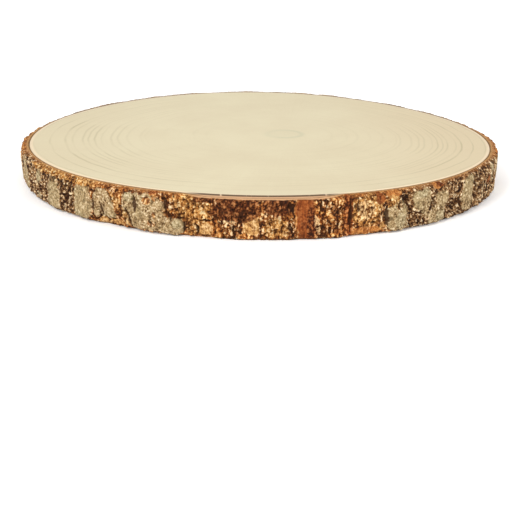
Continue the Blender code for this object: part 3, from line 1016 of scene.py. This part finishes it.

# %% [markdown]
# ## The colours and painted shade of grains
#
# A heap of grains is dark in its hollows and pale on its tips, so each kind of crumbled bark is one ramp
# from dark to pale over the same tone: the grains' own shades together with painted shade in the hollows
# and painted highlights on the tips. Only the hue differs: brown, orange, gold, weathered grey-brown,
# the red of inner bark, and the dark wine of a stain at the front.

# %% The colours of grains
GRAIN_COLOURS_AND_SHADE = {
    "brown": (
        (0.1, 26, 12, 4), (0.33, 80, 40, 15), (0.52, 133, 75, 31), (0.7, 183, 123, 65),
        (0.95, 248, 216, 168),
    ),
    "orange": (
        (0.05, 56, 24, 6), (0.28, 132, 68, 24), (0.48, 182, 108, 46), (0.68, 214, 146, 74),
        (0.95, 250, 208, 142),
    ),
    "gold": (
        (0.03, 66, 32, 8), (0.24, 144, 88, 36), (0.46, 194, 134, 66), (0.68, 220, 164, 94),
        (0.95, 252, 224, 168),
    ),
    "weathered": (
        (0.13, 26, 14, 5), (0.35, 80, 50, 26), (0.53, 132, 93, 54), (0.73, 182, 140, 93),
        (0.97, 250, 226, 184),
    ),
    "red": ((0.1, 66, 26, 8), (0.5, 130, 60, 20), (0.9, 204, 124, 62)),
    "wine": ((0.1, 36, 14, 4), (0.5, 96, 44, 15), (0.9, 168, 102, 52)),
}


def grain_colour(kinds, tone, middling):
    """The colour of crumbled bark, by its tone with its painted shade, and by the kinds of place that it is
    in.
    """
    brown, orange, gold, weathered, red = (
        shades(tone, *GRAIN_COLOURS_AND_SHADE[name]) for name in ("brown", "orange", "gold", "weathered", "red")
    )
    colour = middling.step(0.44, 0.58).tint(brown, orange)
    colour = kinds[WEATHERED].tint(colour, weathered)
    colour = (kinds[GOLDEN] * (0.6 + 0.4 * middling.step(0.4, 0.6))).tint(colour, gold)
    return (kinds[RED] * 0.85).tint(colour, red)


print(len(GRAIN_COLOURS_AND_SHADE), "ramps for the grains")

# %% [markdown]
# ## The colours of crust, bared bark and the sawn rim
#
# Weathered crust is grey and tan, finely mottled, with broad paler patches. Bared bark is coloured along its
# fibres. The sawn rim shows the layers of the bark, from olive against the wood over tan to dark brown
# outside. It is paler where the bark has shrunk away, and grey at the back.

# %% The colours of crust, bared bark and the sawn rim
PLATE_COLOURS = (
    (0.04, 70, 48, 26), (0.28, 130, 102, 66), (0.52, 168, 140, 99), (0.78, 191, 166, 126),
    (0.97, 232, 212, 176),
)
SAWN_COLOURS = (
    (0.0, 118, 84, 46), (0.14, 132, 96, 54), (0.26, 176, 132, 82), (0.55, 174, 122, 70),
    (0.8, 128, 86, 44), (1.0, 84, 54, 26),
)
SHRUNK_COLOURS = (
    (0.1, 170, 124, 80), (0.3, 222, 178, 136), (0.6, 206, 158, 112), (0.95, 150, 98, 56),
)


def plate_colour(mottle, broad):
    plate = shades(mottle, *PLATE_COLOURS)
    return (broad.step(0.42, 0.62) * 0.35).tint(plate, paint(172, 154, 112))


def bared_colour(kinds, place, grooved, mottle, broad):
    """The colour of bark whose crust has come off, which runs along its fibres."""
    inner = grooved.step(0.0, 1.0).tint(paint(128, 65, 22), paint(214, 145, 76))
    aged = grooved.step(0.0, 1.0).tint(paint(104, 66, 34), paint(196, 148, 96))
    inner = (place.part(1).step(-0.03, 0.03) * 0.7).tint(inner, aged)
    furrowed = mottle * 0.5 + grooved * 0.5
    golden = furrowed.step(0.0, 1.0).tint(paint(120, 70, 28), paint(234, 186, 116))
    red = (grooved + (broad - 0.5) * 1.2).step(0.0, 1.0).tint(paint(54, 16, 2), paint(142, 66, 23))
    inner = (kinds[GOLDEN] * 0.85).tint(inner, golden)
    return (kinds[RED] * 0.9).tint(inner, red)


def rim_colour(place, out, seam, small, flecks):
    cut = shades(out + (small - 0.5) * 0.45, *SAWN_COLOURS)
    cut = (flecks.step(0.5, 0.85) * 0.5).tint(cut, paint(112, 70, 34))
    shrunk = shades(out + (small - 0.5) * 0.5, *SHRUNK_COLOURS)
    cut = (seam * 0.9).tint(cut, shrunk)
    return (place.part(1).step(0.0, 0.06) * 0.85).tint(cut, paint(138, 128, 110))


print(len(PLATE_COLOURS), "stops for the crust,", len(SAWN_COLOURS), "for the sawn rim")

# %% [markdown]
# ## The finish of the bark
#
# The material reads what the mesh carries and lays the colours over each other: grains, bared bark, crust,
# the stain, a greenish bloom of lichen and the palest tips. Then it darkens veins and the foot, paints shade
# into hollows, cracks and the creases between grains, and the sawn rim covers all of it.

# %% The finish of the bark
BARK_BUMP = 0.0007


def finish_bark(material):
    nodes, shader, place = surface(material)
    rest = attribute(nodes, "rest", "Vector")
    coloured = [kind for kind in KINDS if kind != CRACK]
    kinds = ragged_kinds(coloured, lambda kind: attribute(nodes, kind), rest)
    deep, relief, out, seam = (attribute(nodes, name) for name in ("deep", "relief", "out", "seam"))
    grains = crumbs_at(rest, CRUMB_SIZE, CRUMB_SEED)
    dust = rest.grain(0.0006, 2.0, 0.6, seed=4.0)
    fine = rest.grain(0.0011, 2.0, 0.6)
    small = rest.grain(0.0024, 3.0, 0.6, seed=1.0)
    middling = rest.grain(0.006, 2.0, 0.5, seed=7.0)
    broad = rest.grain(0.012, 2.0, 0.5, seed=2.0)
    streaks = rest.times((1.0, 1.0, 0.25)).grain(0.0012, 2.0, 0.6, seed=5.0)
    fibres = rest.times((1.0, 1.0, 0.14)).grain(0.0009, 3.0, 0.65)

    # The tone: random shades of the grains, with each grain's middle paler and its edges darker as painted
    # highlight and shade
    tone = (grains.cell - 0.5) * 0.42 + (grains.tiny - 0.5) * 0.4 + (fine - 0.5) * 2.0 + (streaks - 0.5) * 1.6
    tone = tone + (small - 0.5) * 0.8 + (0.5 - grains.near) * 0.35 + 0.49
    mottle = 0.49 + (fine - 0.5) * 2.3 + (dust - 0.5) * 1.3 + (small - 0.5) * 1.6 + (grains.tiny - 0.5) * 0.3
    grooved = 0.5 + (fibres - 0.5) * 2.4 + (fine - 0.5) * 1.2
    flecks = 0.5 + (fine - 0.5) * 1.5 + (streaks - 0.5) * 1.5

    inner = bared_colour(kinds, place, grooved, mottle, broad)
    colour = grain_colour(kinds, tone, middling)
    colour = (kinds[BARED] * 0.8).tint(colour, inner)
    plain_crust = kinds[CRUST] * (1.0 - kinds[CRUMBLED] * 0.75)
    colour = (plain_crust * 0.95).tint(colour, plate_colour(mottle, broad))
    colour = (kinds[MAROON] * 0.9).tint(colour, shades(tone, *GRAIN_COLOURS_AND_SHADE["wine"]))
    greenish = mottle.step(0.0, 1.0).tint(paint(130, 116, 78), paint(204, 192, 156))
    colour = (kinds[LICHEN] * 0.4).tint(colour, greenish)
    tips = tone.step(0.2, 0.7) * kinds[PALE]
    colour = (tips * 0.6).tint(colour, paint(240, 206, 152))

    vein = rest.times((1.0, 1.0, 0.7)).grain(0.0026, 2.0, 0.5, seed=17.0).away_from(0.5)
    vein = (1.0 - vein.step(0.004, 0.022)) * rest.grain(0.0034, 1.0, 0.5, seed=18.0).step(0.42, 0.56)
    colour = (vein * (1.0 - kinds[BARED] * 0.6) * 0.6).tint(colour, paint(74, 48, 24))
    # Painted shade in the hollows of the relief
    hollow_shade = 1.0 - relief.step(-1.15, -0.5)
    colour = (hollow_shade * 0.6).tint(colour, paint(74, 40, 18))
    # Painted shade in the creases between grains, at the edges of their cells
    crease_shade = grains.near.step(0.5, 0.75) * (1.0 - plain_crust) * (1.0 - kinds[BARED])
    colour = (crease_shade * 0.3).tint(colour, paint(58, 30, 14))
    # Painted shade in the cracks, which the mesh also presses in
    colour = ((deep + (fine - 0.5) * 0.7).step(0.3, 0.8) * 0.75).tint(colour, paint(62, 34, 15))

    height = place.part(2)
    foot = 1.0 - (height + (small - 0.5) * 0.002).step(0.0004, 0.0014)
    colour = (foot * 0.7).tint(colour, paint(84, 60, 36))
    head = 1.0 - (thickness - height + (small - 0.5) * 0.003).step(0.0003, 0.0012)
    colour = (head * (1.0 - seam) * 0.35).tint(colour, inner)
    frayed = out + (small - 0.5) * 0.6 * (1.0 - seam)
    sawn = 1.0 - frayed.step(0.34 + 0.56 * seam, 0.56 + 0.42 * seam)
    colour = sawn.tint(colour, rim_colour(place, out, seam, small, flecks))

    connect(colour, shader, "Base Color")
    connect(0.82 + 0.14 * fine, shader, "Roughness")
    bumps = fine * 0.6 + small * 0.5 + fibres * kinds[BARED] * 0.5
    bump = {"Strength": 0.7, "Distance": BARK_BUMP, "Height": bumps}
    connect(nodes.node("ShaderNodeBump", {}, bump), shader, "Normal")
    shader.inputs["Specular IOR Level"].default_value = 0.2


finish_bark(bark_material)
print("bark finished with", len(bark_material.node_tree.nodes), "nodes")

# %% [markdown]
# ## Handing the pieces over
#
# Each finished piece rides on the imported model's only body and stands for the solid that it was grown
# round, which is then hidden.

# %% Handing the pieces over
for piece, node in ((sawn_wood, "wood"), (bark_ring, "bark")):
    piece.data.shade_smooth()
    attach(piece, "root")
    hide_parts(node)
    print(piece.name, "stands for", node)
